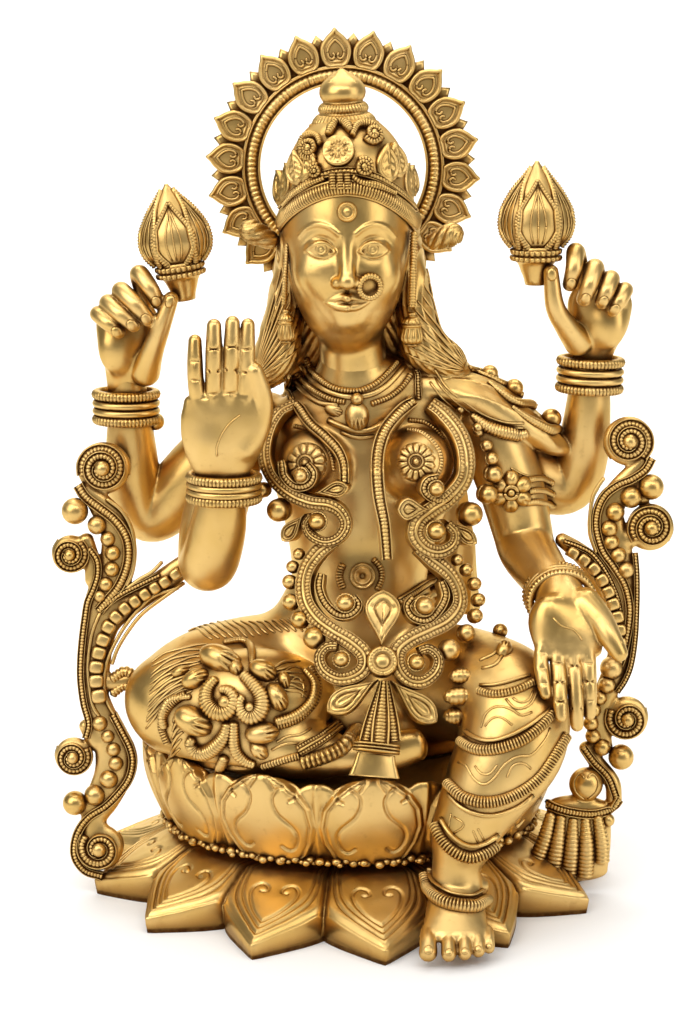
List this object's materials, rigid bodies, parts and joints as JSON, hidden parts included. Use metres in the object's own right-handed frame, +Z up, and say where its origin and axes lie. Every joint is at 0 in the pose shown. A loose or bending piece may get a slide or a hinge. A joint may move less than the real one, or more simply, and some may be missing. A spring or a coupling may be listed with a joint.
{
  "type": "seated goddess figurine",
  "caption": "Cast brass figurine of a many-armed goddess seated on a lotus, a leg hanging to the lower lotus base, with a ring halo behind the head and tall scrolls at the sides.",
  "frame": {"origin": "middle of the whole part's box, at the underside of the lower lotus", "axes": "+Z up, the figure faces -Y, +X is the figure's own left"},
  "size_m": [0.2594, 0.2048, 0.3636],
  "materials": {
    "brass": "polished warm brass with brown patina in the hollows"
  },
  "bodies": {
    "root": {"lotus_plinth": "brass", "lotus_seat": "brass", "figure": "brass", "halo": "brass", "garland": "brass", "right_scroll": "brass", "left_scroll": "brass"}
  },
  "joints": []
}
